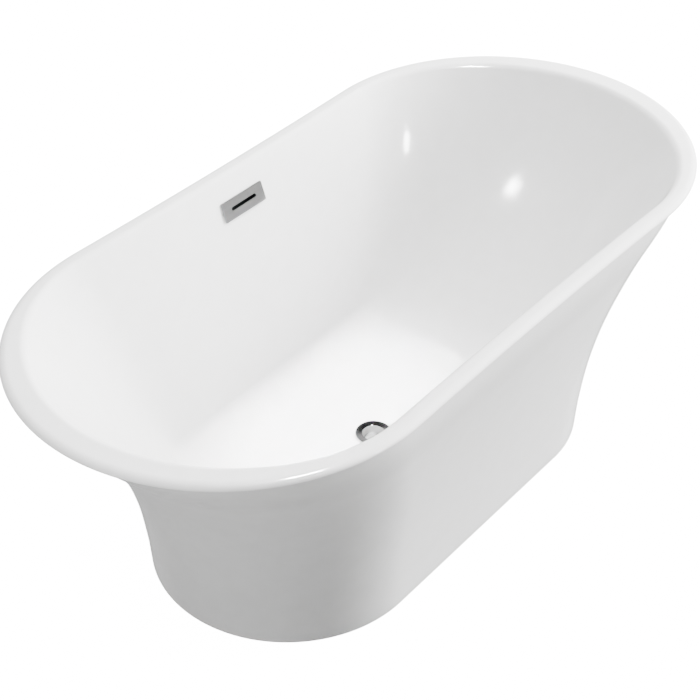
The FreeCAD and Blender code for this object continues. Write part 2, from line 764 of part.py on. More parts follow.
def plug_seal():
    return Part.makeTorus(SEAL_RING_R, SEAL_WIRE_R, V(0, 0, SEAL_Z), UP)


def plug_stem():
    piston = rod(0, 0, PISTON_LOW, PISTON_HIGH, PISTON_R)
    return piston.fuse(rod(0, 0, PISTON_HIGH, PLUG_DISC_Z[0], STEM_R))


def coil_ring(angle, z, sides):
    """Corners of the wire's section at one angle of the coil."""
    corners = []
    for k in range(sides):
        turn = 2 * math.pi * k / sides
        r = SPRING_COIL_R + SPRING_WIRE_R * math.cos(turn)
        rise = SPRING_WIRE_R * math.sin(turn)
        corners.append(V(r * math.cos(angle), r * math.sin(angle), z + rise))
    return corners


def plug_spring():
    """Compression spring under the piston, faceted finely enough to stay round."""
    steps = 18
    sides = 6
    count = SPRING_TURNS * steps
    low = SPRING_LOW + SPRING_WIRE_R
    rise = PISTON_LOW - SPRING_LOW - 2 * SPRING_WIRE_R
    rings = []
    for k in range(count + 1):
        rings.append(coil_ring(2 * math.pi * k / steps, low + rise * k / count, sides))
    triangles = []
    for ring, after in zip(rings, rings[1:]):
        for k in range(sides):
            m = (k + 1) % sides
            triangles.append((ring[k], ring[m], after[m]))
            triangles.append((ring[k], after[m], after[k]))
    faces = [Part.Face(Part.makePolygon(list(t) + [t[0]])) for t in triangles]
    for end in (rings[0], rings[-1]):
        faces.append(Part.Face(Part.makePolygon(end + [end[0]])))
    solid = Part.makeSolid(Part.makeShell(faces))
    return solid if solid.Volume > 0 else solid.reversed()


# ---------------------------------------------------------------- overflow

def overflow_plate():
    half_l = PLATE_L / 2
    half_h = PLATE_H / 2
    back = -PLATE_GASKET
    front = back - PLATE
    plate = box(-half_l, half_l, front, back, -half_h, half_h)
    corners = [e for e in plate.Edges if abs(e.tangentAt(e.FirstParameter).y) > 0.9]
    plate = plate.makeFillet(PLATE_CORNER_R, corners)
    rim = [e for e in plate.Edges if e.BoundBox.YMax < front + 0.1]
    plate = plate.makeFillet(PLATE_EDGE_R, rim)
    plate = plate.fuse(stud_holes(OVERFLOW_STUD_R, back, OVERFLOW_STUD_END)).removeSplitter()
    return on_wall(plate.cut(local_slot(SLOT_L / 2, SLOT_H / 2, front - 1, 0)))


def overflow_gasket(basin):
    half_l = PLATE_L / 2 - 2
    half_h = PLATE_H / 2 - 2
    gasket = box(-half_l, half_l, -PLATE_GASKET, 0.8, -half_h, half_h)
    gasket = gasket.cut(local_slot(WALL_SLOT[0], WALL_SLOT[1], -2, 2))
    gasket = gasket.cut(stud_holes(OVERFLOW_STUD_R + 0.1, -2, 2))
    return on_wall(gasket).cut(basin).Solids[0]


def overflow_body():
    """Flat box behind the wall, open towards the slot, with a flat spout at its foot."""
    y0 = OVERFLOW_BODY_Y
    half_h = OVERFLOW_BODY_H / 2
    spout_y0, spout_y1 = OVERFLOW_SPOUT_Y
    spout_low = OVERFLOW_SPOUT_LOW
    flange_l = OVERFLOW_FLANGE_HALF_L
    body_l = OVERFLOW_BODY_HALF_L
    flange = box(-flange_l, flange_l, y0, y0 + OVERFLOW_FLANGE, -half_h, half_h)
    chamber = box(-body_l, body_l, y0, y0 + OVERFLOW_BODY, -half_h, half_h)
    spout_w = OVERFLOW_SPOUT_W
    spout = box(-spout_w, spout_w, y0 + spout_y0, y0 + spout_y1, spout_low, -half_h)
    body = flange.fuse([chamber, spout]).removeSplitter()
    inner = half_h - OVERFLOW_FLANGE
    inner_l = body_l - OVERFLOW_WALL
    hollow = box(-inner_l, inner_l, y0 - 1, y0 + OVERFLOW_BODY - OVERFLOW_WALL, -inner, inner)
    wall = OVERFLOW_SPOUT_WALL
    throat_w = spout_w - wall
    throat = box(-throat_w, throat_w, y0 + spout_y0 + wall, y0 + spout_y1 - wall,
                 spout_low - 1, 1 - inner)
    holes = stud_holes(OVERFLOW_STUD_R + 0.1, y0 - 1, y0 + OVERFLOW_FLANGE + 1)
    return on_wall(body.cut([hollow, throat] + holes))


def overflow_back_gasket(basin):
    half_l = OVERFLOW_FLANGE_HALF_L - 2
    half_h = OVERFLOW_BODY_H / 2 - 1
    low = BACK_GASKET_Y - 2
    high = OVERFLOW_BODY_Y + 2
    gasket = box(-half_l, half_l, BACK_GASKET_Y, OVERFLOW_BODY_Y, -half_h, half_h)
    gasket = gasket.cut(local_slot(WALL_SLOT[0] + 0.5, WALL_SLOT[1] + 0.5, low, high))
    gasket = gasket.cut(stud_holes(OVERFLOW_STUD_R + 0.1, low, high))
    pieces = on_wall(gasket).cut(basin).Solids
    return max(pieces, key=lambda solid: solid.Volume)


def overflow_nuts():
    nuts = []
    for x in (-STUD_X, STUD_X):
        blank = nut(0, 0, 0, OVERFLOW_NUT, OVERFLOW_NUT_AF, OVERFLOW_STUD_R + RUN_GAP)
        blank.rotate(V(0, 0, 0), V(1, 0, 0), -90)
        blank.translate(V(x, OVERFLOW_BODY_Y + OVERFLOW_FLANGE, 0))
        nuts.append(on_wall(blank))
    return solids(nuts)


def duct_route():
    """Centre line of the flat duct in the YZ plane, from the drain up to the overflow."""
    middle = OVERFLOW_BODY_Y + sum(OVERFLOW_SPOUT_Y) / 2
    outlet = overflow_placement().multVec(V(0, middle, DUCT_TOP))
    below = overflow_placement().multVec(V(0, middle, DUCT_BELOW))
    route = [(DUCT_START_Y, DUCT_RUN_Z)] + list(DUCT_BEND)
    for z in DUCT_RISE_Z:
        wall = side_at_middle(z, FLOOR_SHEET)
        route.append(((wall + skirt_reach(z, 2, SHELL)) / 2, z))
    return route + [(below.y, below.z), (outlet.y, outlet.z)]


def ribbon(route, thickness, half_w):
    """Flat bar of the given thickness along a route in the YZ plane."""
    left = []
    right = []
    for k, (y, z) in enumerate(route):
        ya, za = route[max(k - 1, 0)]
        yb, zb = route[min(k + 1, len(route) - 1)]
        before = (y - ya, z - za) if k else (yb - y, zb - z)
        after = (yb - y, zb - z) if k < len(route) - 1 else before
        na = math.hypot(*before)
        nb = math.hypot(*after)
        ny = -(before[1] / na + after[1] / nb)
        nz = before[0] / na + after[0] / nb
        size = math.hypot(ny, nz)
        reach = thickness / 2 / (size / 2)
        left.append(V(-half_w, y + ny / size * reach, z + nz / size * reach))
        right.append(V(-half_w, y - ny / size * reach, z - nz / size * reach))
    outline = left + right[::-1]
    return Part.Face(Part.makePolygon(outline + outline[:1])).extrude(V(2 * half_w, 0, 0))


def overflow_duct():
    route = duct_route()
    outer = ribbon(route, DUCT, DUCT_HALF_W)
    return outer.cut(ribbon(longer(route), DUCT - 2 * DUCT_WALL, DUCT_HALF_W - DUCT_WALL))


def longer(route):
    """The same route, run on a little past both ends."""
    ends = []
    for (ya, za), (yb, zb) in ((route[0], route[1]), (route[-1], route[-2])):
        size = math.hypot(ya - yb, za - zb)
        ends.append((ya + (ya - yb) / size, za + (za - zb) / size))
    return [ends[0]] + route[1:-1] + [ends[1]]


# ---------------------------------------------------------------- write the parts

def main():
    basin = basin_shell()
    save("basin_shell", basin)
    save("skirt_shell", skirt_shell())
    save("rim_adhesive_bead", rim_adhesive())
    save("bottom_board", bottom_board())
    save("frame_rail_near", frame_rail(-RAIL_Y))
    save("frame_rail_far", frame_rail(RAIL_Y))
    for k, x in enumerate(CROSS_X, 1):
        save("frame_cross_member_%d" % k, frame_cross_member(x))
    save("frame_outriggers", frame_outriggers())
    save("skirt_brackets", skirt_brackets())
    save("skirt_bond_pads", skirt_bond_pads())
    save("bracket_screws", bracket_screws())
    save("board_screws", board_screws())
    lock_top = TUBE_LOW - WELD_NUT - 0.2
    save("foot_weld_nuts", foot_nuts(TUBE_LOW - WELD_NUT, TUBE_LOW))
    save("foot_lock_nuts", foot_nuts(lock_top - LOCK_NUT, lock_top))
    for k, (x, y) in enumerate(foot_places(), 1):
        save("foot_%d_stud" % k, foot_stud(x, y))
        save("foot_%d_pad" % k, foot_pad(x, y))
        save("foot_%d_sole" % k, foot_sole(x, y))
    save("drain_flange", drain_flange())
    save("drain_flange_gasket", ring(FLOOR_HOLE_R, FLANGE_R - 1, FLOOR_Z, FLOOR_Z + SOFT_SEAL))
    save("drain_body_gasket", ring(FLOOR_HOLE_R, BODY_FLANGE_R, BODY_TOP_Z, FLOOR_UNDER))
    save("drain_body", drain_body())
    save("strainer_cross", strainer_cross())
    save("click_cartridge", click_cartridge())
    save("plug_cap", plug_cap())
    save("plug_seal", plug_seal())
    save("plug_stem", plug_stem())
    save("plug_spring", plug_spring())
    save("outlet_tailpiece", outlet_tailpiece())
    save("outlet_washer", outlet_washer())
    save("outlet_nut", outlet_nut())
    save("overflow_plate", overflow_plate())
    save("overflow_gasket", overflow_gasket(basin))
    save("overflow_back_gasket", overflow_back_gasket(basin))
    save("overflow_body", overflow_body())
    save("overflow_nuts", overflow_nuts())
    save("overflow_duct", overflow_duct())


main()
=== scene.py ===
"""Looks of the freestanding bathtub: basin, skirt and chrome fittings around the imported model."""
import json
import math

import bmesh
import bpy
import numpy as np
from mathutils import Matrix, Vector


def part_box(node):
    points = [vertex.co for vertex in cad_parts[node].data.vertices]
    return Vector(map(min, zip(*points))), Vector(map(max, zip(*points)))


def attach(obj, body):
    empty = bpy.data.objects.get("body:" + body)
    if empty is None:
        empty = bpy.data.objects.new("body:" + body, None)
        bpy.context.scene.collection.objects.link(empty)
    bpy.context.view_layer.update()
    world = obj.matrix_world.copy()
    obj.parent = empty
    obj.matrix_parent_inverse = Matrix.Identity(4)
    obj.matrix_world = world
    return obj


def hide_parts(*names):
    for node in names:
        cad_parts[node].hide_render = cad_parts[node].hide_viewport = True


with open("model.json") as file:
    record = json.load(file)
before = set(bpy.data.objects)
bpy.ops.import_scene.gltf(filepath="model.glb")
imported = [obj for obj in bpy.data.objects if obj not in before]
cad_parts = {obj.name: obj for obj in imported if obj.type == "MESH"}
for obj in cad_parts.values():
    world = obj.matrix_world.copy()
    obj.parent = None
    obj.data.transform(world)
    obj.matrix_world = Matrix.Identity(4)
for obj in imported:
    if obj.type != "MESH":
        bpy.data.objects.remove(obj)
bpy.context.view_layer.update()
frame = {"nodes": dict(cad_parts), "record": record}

MM = 0.001
RIM_LOW, RIM_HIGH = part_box("basin_shell")
SKIRT_LOW, SKIRT_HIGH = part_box("skirt_shell")

# Rim and basin, from the outer box of the basin
HALF_LENGTH = RIM_HIGH[0]
HALF_WIDTH = RIM_HIGH[1]
HEIGHT = RIM_HIGH[2]
FLOOR_SHEET = 6 * MM
FLOOR_Z = RIM_LOW[2] + FLOOR_SHEET
SHELL = 5 * MM
RIM_WAIST = 4.5 * MM
LIP_HEIGHT = 11 * MM
EDGE_RUN = 14 * MM       # width of the rounded outer edge
EDGE_DROP = 9 * MM       # and its height
INNER_EDGE_R = 9 * MM
LIP_BOTTOM_R = 1.5 * MM
CAVITY_HALF_L = 700 * MM
CAVITY_HALF_W = 340 * MM
CAVITY_END = 309 * MM
FLOOR_CORNER_X = 230 * MM
RIM_SQUARENESS = 1.95
FLOOR_SQUARENESS = 4.5
SQUARENESS_FADE = 3
SIDE_FILLET = 45 * MM
END_FILLET = 40 * MM
SIDE_FOOT = 196 * MM
SIDE_FLARE = 1.8
END_SLOPE_LOW = 1.02
END_SLOPE_TOP = 0.70
DRAIN_HOLE_R = 24 * MM

# Skirt: height, half length, half width
SKIRT_LEVELS = (
    (2 * MM, 506 * MM, 256 * MM),
    (80 * MM, 512 * MM, 260.5 * MM),
    (190 * MM, 529 * MM, 273 * MM),
    (297 * MM, 564 * MM, 293 * MM),
    (405 * MM, 628 * MM, 320 * MM),
    (486 * MM, 694 * MM, 345 * MM),
    (546 * MM, 734 * MM, 358.5 * MM),
)
SKIRT_EDGE_R = 2 * MM
SKIRT_RINGS = 60
SKIRT_BACK_RINGS = 40
FLANGE_HOLE = (717 * MM, 347.5 * MM)

# Points around a quarter of the plan
STRAIGHT = 24
CURVED = 84
ARC_SAMPLES = 900

# Rings of the basin: floor, fillet, wall and rim, then the hidden side
FLOOR_RINGS = 14
FILLET_RINGS = 26
WALL_RINGS = 56
INNER_EDGE_RINGS = 10
DECK_RINGS = 8
OUTER_EDGE_RINGS = 15
LIP_RINGS = 4
DECK_BACK_RINGS = 5
WALL_BACK_RINGS = 34
FILLET_BACK_RINGS = 16
FLOOR_BACK_RINGS = 8


# ---------------------------------------------------------------- forms

def side_reach(z, skin=0.0):
    """Half width of the cavity at height z, grown outwards by skin."""
    radius = SIDE_FILLET + skin
    rise = z - (FLOOR_Z - skin)
    if rise < radius:
        rise = max(rise, 0.0)
        return SIDE_FOOT + math.sqrt(rise * (2 * radius - rise))
    foot = SIDE_FOOT + SIDE_FILLET
    span = HEIGHT - FLOOR_Z - SIDE_FILLET
    t = min(max((z - FLOOR_Z - SIDE_FILLET) / span, 0.0), 1.0)
    flare = (CAVITY_HALF_W - foot) * t ** SIDE_FLARE
    slope = (CAVITY_HALF_W - foot) / span * SIDE_FLARE * t ** (SIDE_FLARE - 1)
    return foot + flare + skin * math.hypot(1, slope)


def end_reach(z, skin=0.0):
    """Half length of the cavity at height z, grown outwards by skin."""
    lean = math.atan(1 / END_SLOPE_LOW)
    wall_low = FLOOR_Z + END_FILLET * (1 - math.cos(lean))
    span = HEIGHT - wall_low
    curve = (END_SLOPE_LOW - END_SLOPE_TOP) / (2 * span)
    wall_foot = CAVITY_HALF_L - END_SLOPE_LOW * span + curve * span * span
    radius = END_FILLET + skin
    rise = z - (FLOOR_Z - skin)
    if rise < radius * (1 - math.cos(lean)):
        rise = max(rise, 0.0)
        return wall_foot - END_FILLET * math.sin(lean) + math.sqrt(rise * (2 * radius - rise))
    h = z - wall_low
    slope = END_SLOPE_LOW - 2 * curve * h
    return wall_foot + END_SLOPE_LOW * h - curve * h * h + skin * math.hypot(1, slope)


def height_share(z):
    return min(max((z - FLOOR_Z) / (HEIGHT - FLOOR_Z), 0.0), 1.0)


def spread(line, count):
    """Points at equal distances along a polyline, both ends included."""
    steps = np.hypot(*np.diff(line, axis=0).T)
    run = np.concatenate([[0.0], np.cumsum(steps)])
    goals = np.linspace(0.0, run[-1], count + 1)
    return np.column_stack([np.interp(goals, run, line[:, 0]), np.interp(goals, run, line[:, 1])])


def mirror_quarter(quarter):
    """Closed ring from the quarter that runs from (0, +y) round to (+x, 0)."""
    last = len(quarter) - 1
    near = quarter * (1, -1)
    return np.concatenate([
        near,
        quarter[:last][::-1],
        quarter[1:] * (-1, 1),
        (quarter[1:last] * (-1, -1))[::-1],
    ])


def cavity_ring(z, skin=0.0, grow=0.0):
    t = height_share(z)
    half_l = end_reach(z, skin) + grow
    half_w = side_reach(z, skin) + grow
    corner_x = FLOOR_CORNER_X + (CAVITY_HALF_L - CAVITY_END - FLOOR_CORNER_X) * t
    fade = (1 - t) ** SQUARENESS_FADE
    power = RIM_SQUARENESS + (FLOOR_SQUARENESS - RIM_SQUARENESS) * fade
    waist = RIM_WAIST * t * t
    angle = np.linspace(math.pi / 2, 0.0, ARC_SAMPLES)
    arc_x = corner_x + (half_l - corner_x) * np.maximum(np.cos(angle), 0.0) ** (2 / power)
    arc_y = half_w * np.sin(angle) ** (2 / power)
    arc = spread(np.column_stack([arc_x, arc_y]), CURVED)
    side_x = corner_x * np.arange(STRAIGHT) / STRAIGHT
    side_y = half_w - waist * (1 - (side_x / corner_x) ** 2)
    return mirror_quarter(np.concatenate([np.column_stack([side_x, side_y]), arc]))


def rim_ring(inset):
    """Outer outline of the rim: round ends joined by sides that bow in."""
    full_r = HALF_WIDTH
    centre_x = HALF_LENGTH - full_r
    end_r = full_r - inset
    mid_y = full_r - RIM_WAIST
    side_r = (centre_x ** 2 + mid_y ** 2 - full_r ** 2) / (2 * (full_r - mid_y)) + inset
    side_y = mid_y - inset + side_r
    join_x = centre_x * (1 - end_r / math.hypot(centre_x, side_y))
    start = math.atan2(side_y * end_r / math.hypot(centre_x, side_y), join_x - centre_x)
    side_x = join_x * np.arange(STRAIGHT) / STRAIGHT
    side = np.column_stack([side_x, side_y - np.sqrt(side_r ** 2 - side_x ** 2)])
    angle = np.linspace(start, 0.0, CURVED + 1)
    arc = np.column_stack([centre_x + end_r * np.cos(angle), end_r * np.sin(angle)])
    return mirror_quarter(np.concatenate([side, arc]))


def stadium_ring(half_l, half_w):
    run = half_l - half_w
    side = np.column_stack([run * np.arange(STRAIGHT) / STRAIGHT, np.full(STRAIGHT, half_w)])
    angle = np.linspace(math.pi / 2, 0.0, CURVED + 1)
    arc = np.column_stack([run + half_w * np.cos(angle), half_w * np.sin(angle)])
    return mirror_quarter(np.concatenate([side, arc]))


def skirt_slope(k, column):
    low = SKIRT_LEVELS[max(k - 1, 0)]
    high = SKIRT_LEVELS[min(k + 1, len(SKIRT_LEVELS) - 1)]
    return (high[column] - low[column]) / (high[0] - low[0])


def skirt_reach(z, column, inset=0.0):
    """Half length (column 1) or half width (column 2) of the skirt at height z."""
    k = 0
    while k < len(SKIRT_LEVELS) - 2 and z > SKIRT_LEVELS[k + 1][0]:
        k += 1
    low = SKIRT_LEVELS[k]
    high = SKIRT_LEVELS[k + 1]
    span = high[0] - low[0]
    t = (z - low[0]) / span
    rise = high[column] - low[column]
    a = skirt_slope(k, column) * span - rise
    b = rise - skirt_slope(k + 1, column) * span
    reach = low[column] + t * rise + t * (1 - t) * ((1 - t) * a + t * b)
    return reach - inset * math.hypot(1, rise / span)


def lift(ring, z):
    return np.column_stack([ring, np.full(len(ring), z)])


def between(first, last, count):
    """Rings evenly spaced from first to last, without the first."""
    return [first + (last - first) * k / count for k in range(1, count + 1)]


def bend(start, corner, end, count):
    """Rings along a rounded edge from start to end, without the first."""
    rings = []
    for k in range(1, count + 1):
        t = k / count
        rings.append((1 - t) ** 2 * start + 2 * t * (1 - t) * corner + t * t * end)
    return rings


def sheet_object(name, rings, materials, bands=()):
    """Closed mesh from rings that run from one hole edge round to the same edge again.

    Each band is (first ring, ring after the last, material number).
    """
    count = len(rings[0])
    mesh = bpy.data.meshes.new(name)
    points = np.concatenate(rings)
    faces = []
    for r in range(len(rings)):
        here = r * count
        there = ((r + 1) % len(rings)) * count
        for k in range(count):
            m = (k + 1) % count
            faces.append((here + k, here + m, there + m, there + k))
    mesh.from_pydata(points.tolist(), [], faces)
    for material in materials:
        mesh.materials.append(material)
    kinds = np.zeros(len(faces), dtype=np.int32)
    for start, stop, kind in bands:
        kinds[start * count:stop * count] = kind
    mesh.polygons.foreach_set("material_index", kinds)
    piece = bpy.data.objects.new(name, mesh)
    bpy.context.collection.objects.link(piece)
    outward(mesh)
    mesh.polygons.foreach_set("use_smooth", [True] * len(mesh.polygons))
    return piece


def outward(mesh):
    """Turn every face of a closed mesh outwards."""
    shape = bmesh.new()
    shape.from_mesh(mesh)
    bmesh.ops.recalc_face_normals(shape, faces=shape.faces)
    if shape.calc_volume(signed=True) < 0:
        bmesh.ops.reverse_faces(shape, faces=shape.faces)
    shape.to_mesh(mesh)
    shape.free()


# ---------------------------------------------------------------- shader helpers

def nodes_of(name):
    material = bpy.data.materials.new(name)
    material.use_nodes = True
    tree = material.node_tree
    shader = tree.nodes["Principled BSDF"]
    return material, tree, shader


def add(tree, kind, **values):
    node = tree.nodes.new(kind)
    for key, value in values.items():
        if key in node.inputs:
            node.inputs[key].default_value = value
        else:
            setattr(node, key, value)
    return node


def noise(tree, scale, detail=3.0, stretch=(1, 1, 1), roughness=0.5):
    place = add(tree, "ShaderNodeTexCoord")
    mapping = add(tree, "ShaderNodeMapping")
    mapping.inputs["Scale"].default_value = stretch
    field = add(tree, "ShaderNodeTexNoise", Scale=scale, Detail=detail, Roughness=roughness)
    tree.links.new(place.outputs["Object"], mapping.inputs["Vector"])
    tree.links.new(mapping.outputs["Vector"], field.inputs["Vector"])
    return field.outputs["Fac"]


def spread_values(tree, source, low, high, start=0.3, end=0.7):
    spread_node = add(tree, "ShaderNodeMapRange")
    spread_node.inputs["From Min"].default_value = start
    spread_node.inputs["From Max"].default_value = end
    spread_node.inputs["To Min"].default_value = low
    spread_node.inputs["To Max"].default_value = high
    tree.links.new(source, spread_node.inputs["Value"])
    return spread_node.outputs["Result"]


def tint(tree, source, first, second, start=0.3, end=0.7):
    ramp = add(tree, "ShaderNodeValToRGB")
    ramp.color_ramp.elements[0].position = start
    ramp.color_ramp.elements[0].color = (*first, 1)
    ramp.color_ramp.elements[1].position = end
    ramp.color_ramp.elements[1].color = (*second, 1)
    tree.links.new(source, ramp.inputs["Fac"])
    return ramp.outputs["Color"]


def bump(tree, source, distance, strength=1.0, below=None):
    relief = add(tree, "ShaderNodeBump", Distance=distance, Strength=strength)
    tree.links.new(source, relief.inputs["Height"])
    if below is not None:
        tree.links.new(below, relief.inputs["Normal"])
    return relief.outputs["Normal"]


def finish_material(name, colours, rough, metallic=0.0, scale=40.0, stretch=(1, 1, 1),
                    relief=0.00002, relief_scale=400.0, ior=1.5, coat=0.0, detail=3.0):
    """Principled material with its colour, roughness and relief taken from noise."""
    material, tree, shader = nodes_of(name)
    field = noise(tree, scale, detail, stretch)
    fine = noise(tree, relief_scale, 2.0, stretch)
    tree.links.new(tint(tree, field, *colours), shader.inputs["Base Color"])
    tree.links.new(spread_values(tree, field, *rough), shader.inputs["Roughness"])
    tree.links.new(bump(tree, fine, relief), shader.inputs["Normal"])
    shader.inputs["Metallic"].default_value = metallic
    shader.inputs["IOR"].default_value = ior
    shader.inputs["Coat Weight"].default_value = coat
    return material


def grey(value, warm=0.0):
    return (value * (1 + warm), value, value * (1 - warm))


# ---------------------------------------------------------------- materials

def acrylic():
    """Gloss moulded sheet: long faint waves and fine orange peel under a clear surface."""
    material, tree, shader = nodes_of("white_acrylic")
    wave = noise(tree, 5.0, 2.0)
    peel = noise(tree, 260.0, 2.0)
    wear = noise(tree, 30.0, 4.0)
    colour = tint(tree, wear, grey(0.905, 0.004), grey(0.935, 0.002))
    tree.links.new(colour, shader.inputs["Base Color"])
    tree.links.new(spread_values(tree, wear, 0.09, 0.13), shader.inputs["Roughness"])
    soft = bump(tree, wave, 0.0006, 0.25)
    tree.links.new(bump(tree, peel, 0.00001, 0.5, soft), shader.inputs["Normal"])
    shader.inputs["IOR"].default_value = 1.49
    return material


def fibre_back():
    """Glass-fibre resin on the hidden side of the moulded sheets."""
    material, tree, shader = nodes_of("fibre_back")
    mat = noise(tree, 90.0, 8.0, roughness=0.7)
    strands = add(tree, "ShaderNodeTexVoronoi", Scale=120.0, feature="DISTANCE_TO_EDGE")
    place = add(tree, "ShaderNodeTexCoord")
    tree.links.new(place.outputs["Object"], strands.inputs["Vector"])
    colour = tint(tree, mat, (0.56, 0.55, 0.47), (0.74, 0.73, 0.66))
    tree.links.new(colour, shader.inputs["Base Color"])
    tree.links.new(spread_values(tree, mat, 0.45, 0.7), shader.inputs["Roughness"])
    rough = bump(tree, mat, 0.0012, 0.6)
    relief = bump(tree, strands.outputs["Distance"], 0.0006, 0.5, rough)
    tree.links.new(relief, shader.inputs["Normal"])
    return material


def galvanised():
    """Zinc with its crystal pattern."""
    material, tree, shader = nodes_of("zinc_tube")
    place = add(tree, "ShaderNodeTexCoord")
    spangle = add(tree, "ShaderNodeTexVoronoi", Scale=140.0)
    tree.links.new(place.outputs["Object"], spangle.inputs["Vector"])
    cell = add(tree, "ShaderNodeSeparateColor")
    tree.links.new(spangle.outputs["Color"], cell.inputs["Color"])
    shade = cell.outputs["Red"]
    colour = tint(tree, shade, grey(0.42, -0.01), grey(0.66, -0.01), 0.0, 1.0)
    tree.links.new(colour, shader.inputs["Base Color"])
    tree.links.new(spread_values(tree, shade, 0.32, 0.55, 0.0, 1.0), shader.inputs["Roughness"])
    tree.links.new(bump(tree, noise(tree, 300.0), 0.00004), shader.inputs["Normal"])
    shader.inputs["Metallic"].default_value = 0.85
    return material


def chipboard():
    """Raw board of pressed wood chips."""
    material, tree, shader = nodes_of("board")
    place = add(tree, "ShaderNodeTexCoord")
    mapping = add(tree, "ShaderNodeMapping")
    mapping.inputs["Scale"].default_value = (0.35, 1.0, 1.0)
    chips = add(tree, "ShaderNodeTexVoronoi", Scale=260.0)
    tree.links.new(place.outputs["Object"], mapping.inputs["Vector"])
    tree.links.new(mapping.outputs["Vector"], chips.inputs["Vector"])
    cell = add(tree, "ShaderNodeSeparateColor")
    tree.links.new(chips.outputs["Color"], cell.inputs["Color"])
    shade = cell.outputs["Green"]
    colour = tint(tree, shade, (0.36, 0.24, 0.13), (0.66, 0.50, 0.31), 0.0, 1.0)
    tree.links.new(colour, shader.inputs["Base Color"])
    tree.links.new(spread_values(tree, shade, 0.7, 0.9, 0.0, 1.0), shader.inputs["Roughness"])
    tree.links.new(bump(tree, shade, 0.0002, 0.6), shader.inputs["Normal"])
    return material


MATERIALS = {
    "white_acrylic": acrylic(),
    "fibre_back": fibre_back(),
    "zinc_tube": galvanised(),
    "board": chipboard(),
    "adhesive": finish_material("adhesive", (grey(0.66, 0.02), grey(0.78, 0.02)), (0.5, 0.65),
                                relief=0.0003, relief_scale=120.0),
    "resin": finish_material("resin", ((0.55, 0.54, 0.46), (0.70, 0.69, 0.61)), (0.4, 0.6),
                             relief=0.0005, relief_scale=90.0, detail=8.0),
    "zinc_screws": finish_material("zinc_screws", (grey(0.50, 0.03), grey(0.68, 0.02)),
                                   (0.28, 0.42), metallic=1.0, scale=300.0),
    # dark_chrome: chrome with a very dark base colour, a painted dark reflection standing in for
    # the dark surroundings that the polished ring mirrors
    "dark_chrome": finish_material("dark_chrome", (grey(0.155), grey(0.170)), (0.17, 0.20),
                                   metallic=1.0, scale=120.0, relief=0.000002),
    "chrome": finish_material("chrome", (grey(0.70), grey(0.76)), (0.05, 0.10), metallic=1.0,
                              scale=120.0, relief=0.000004),
    "cone": finish_material("cone", (grey(0.52), grey(0.60)), (0.34, 0.46), metallic=1.0,
                            scale=120.0, relief=0.000008),
    "satin_chrome": finish_material("satin_chrome", (grey(0.245), grey(0.275)), (0.30, 0.38),
                                    metallic=1.0, scale=160.0,
                                    stretch=(0.05, 1, 1), relief=0.00001, relief_scale=1500.0),
    "brass_body": finish_material("brass_body", ((0.50, 0.36, 0.14), (0.72, 0.55, 0.26)),
                                  (0.25, 0.45), metallic=1.0, scale=60.0, relief=0.00005),
    "black_rubber": finish_material("black_rubber", (grey(0.018), grey(0.032)), (0.55, 0.75),
                                    relief=0.00006, relief_scale=700.0),
    "black_nylon": finish_material("black_nylon", (grey(0.030), grey(0.045)), (0.35, 0.5),
                                   relief=0.00004, relief_scale=600.0),
    "black_abs": finish_material("black_abs", (grey(0.008), grey(0.014)), (0.5, 0.6),
                                 relief=0.00003, relief_scale=500.0),
    "spring_steel": finish_material("spring_steel", (grey(0.45), grey(0.60)), (0.2, 0.35),
                                    metallic=1.0, scale=400.0),
}
SLOTS = {s["node"]: s["material_slot"] for s in frame["record"]["subparts"]}

for node, piece in frame["nodes"].items():
    piece.data.materials.clear()
    piece.data.materials.append(MATERIALS[SLOTS[node]])


# ---------------------------------------------------------------- basin

